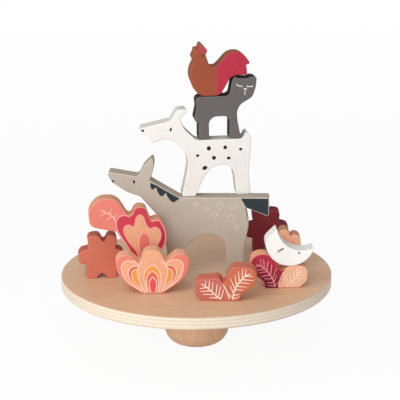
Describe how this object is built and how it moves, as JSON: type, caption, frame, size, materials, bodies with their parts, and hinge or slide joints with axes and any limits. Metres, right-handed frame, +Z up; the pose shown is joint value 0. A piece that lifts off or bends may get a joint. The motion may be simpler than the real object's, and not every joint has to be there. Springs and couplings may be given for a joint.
{
  "type": "stacking balance game",
  "caption": "Round plywood board on a small turned foot, with flat painted animal, leaf, flower and moon figures stacked on it.",
  "frame": {"origin": "centre of the foot's flat underside", "axes": "+Z up, -Y towards the viewer, +X to the viewer's right; the animals face along X"},
  "size_m": [0.2, 0.2, 0.2252],
  "materials": {
    "board_ply": "clear satin lacquer",
    "turned_foot": "clear satin lacquer",
    "dowel": "bare",
    "grey_brown_paint": "satin paint",
    "white_paint": "satin paint",
    "grey_paint": "satin paint",
    "russet_paint": "satin paint",
    "red_paint": "satin paint",
    "rust_paint": "satin paint",
    "salmon_paint": "satin paint",
    "orange_paint": "satin paint",
    "crimson_paint": "satin paint",
    "cream_paint": "satin paint",
    "burgundy_paint": "satin paint",
    "peach_paint": "satin paint"
  },
  "bodies": {
    "root": {"board": "board_ply", "foot": "turned_foot", "foot_dowel": "dowel", "donkey": "grey_brown_paint", "dog": "white_paint", "cat": "grey_paint", "rooster": "russet_paint", "red_flower": "red_paint", "rust_leaf": "rust_paint", "lotus": "salmon_paint", "orange_leaf_pair": "orange_paint", "red_leaf_pair": "crimson_paint", "moon": "cream_paint", "burgundy_leaf": "burgundy_paint", "peach_flower": "peach_paint"}
  },
  "joints": []
}
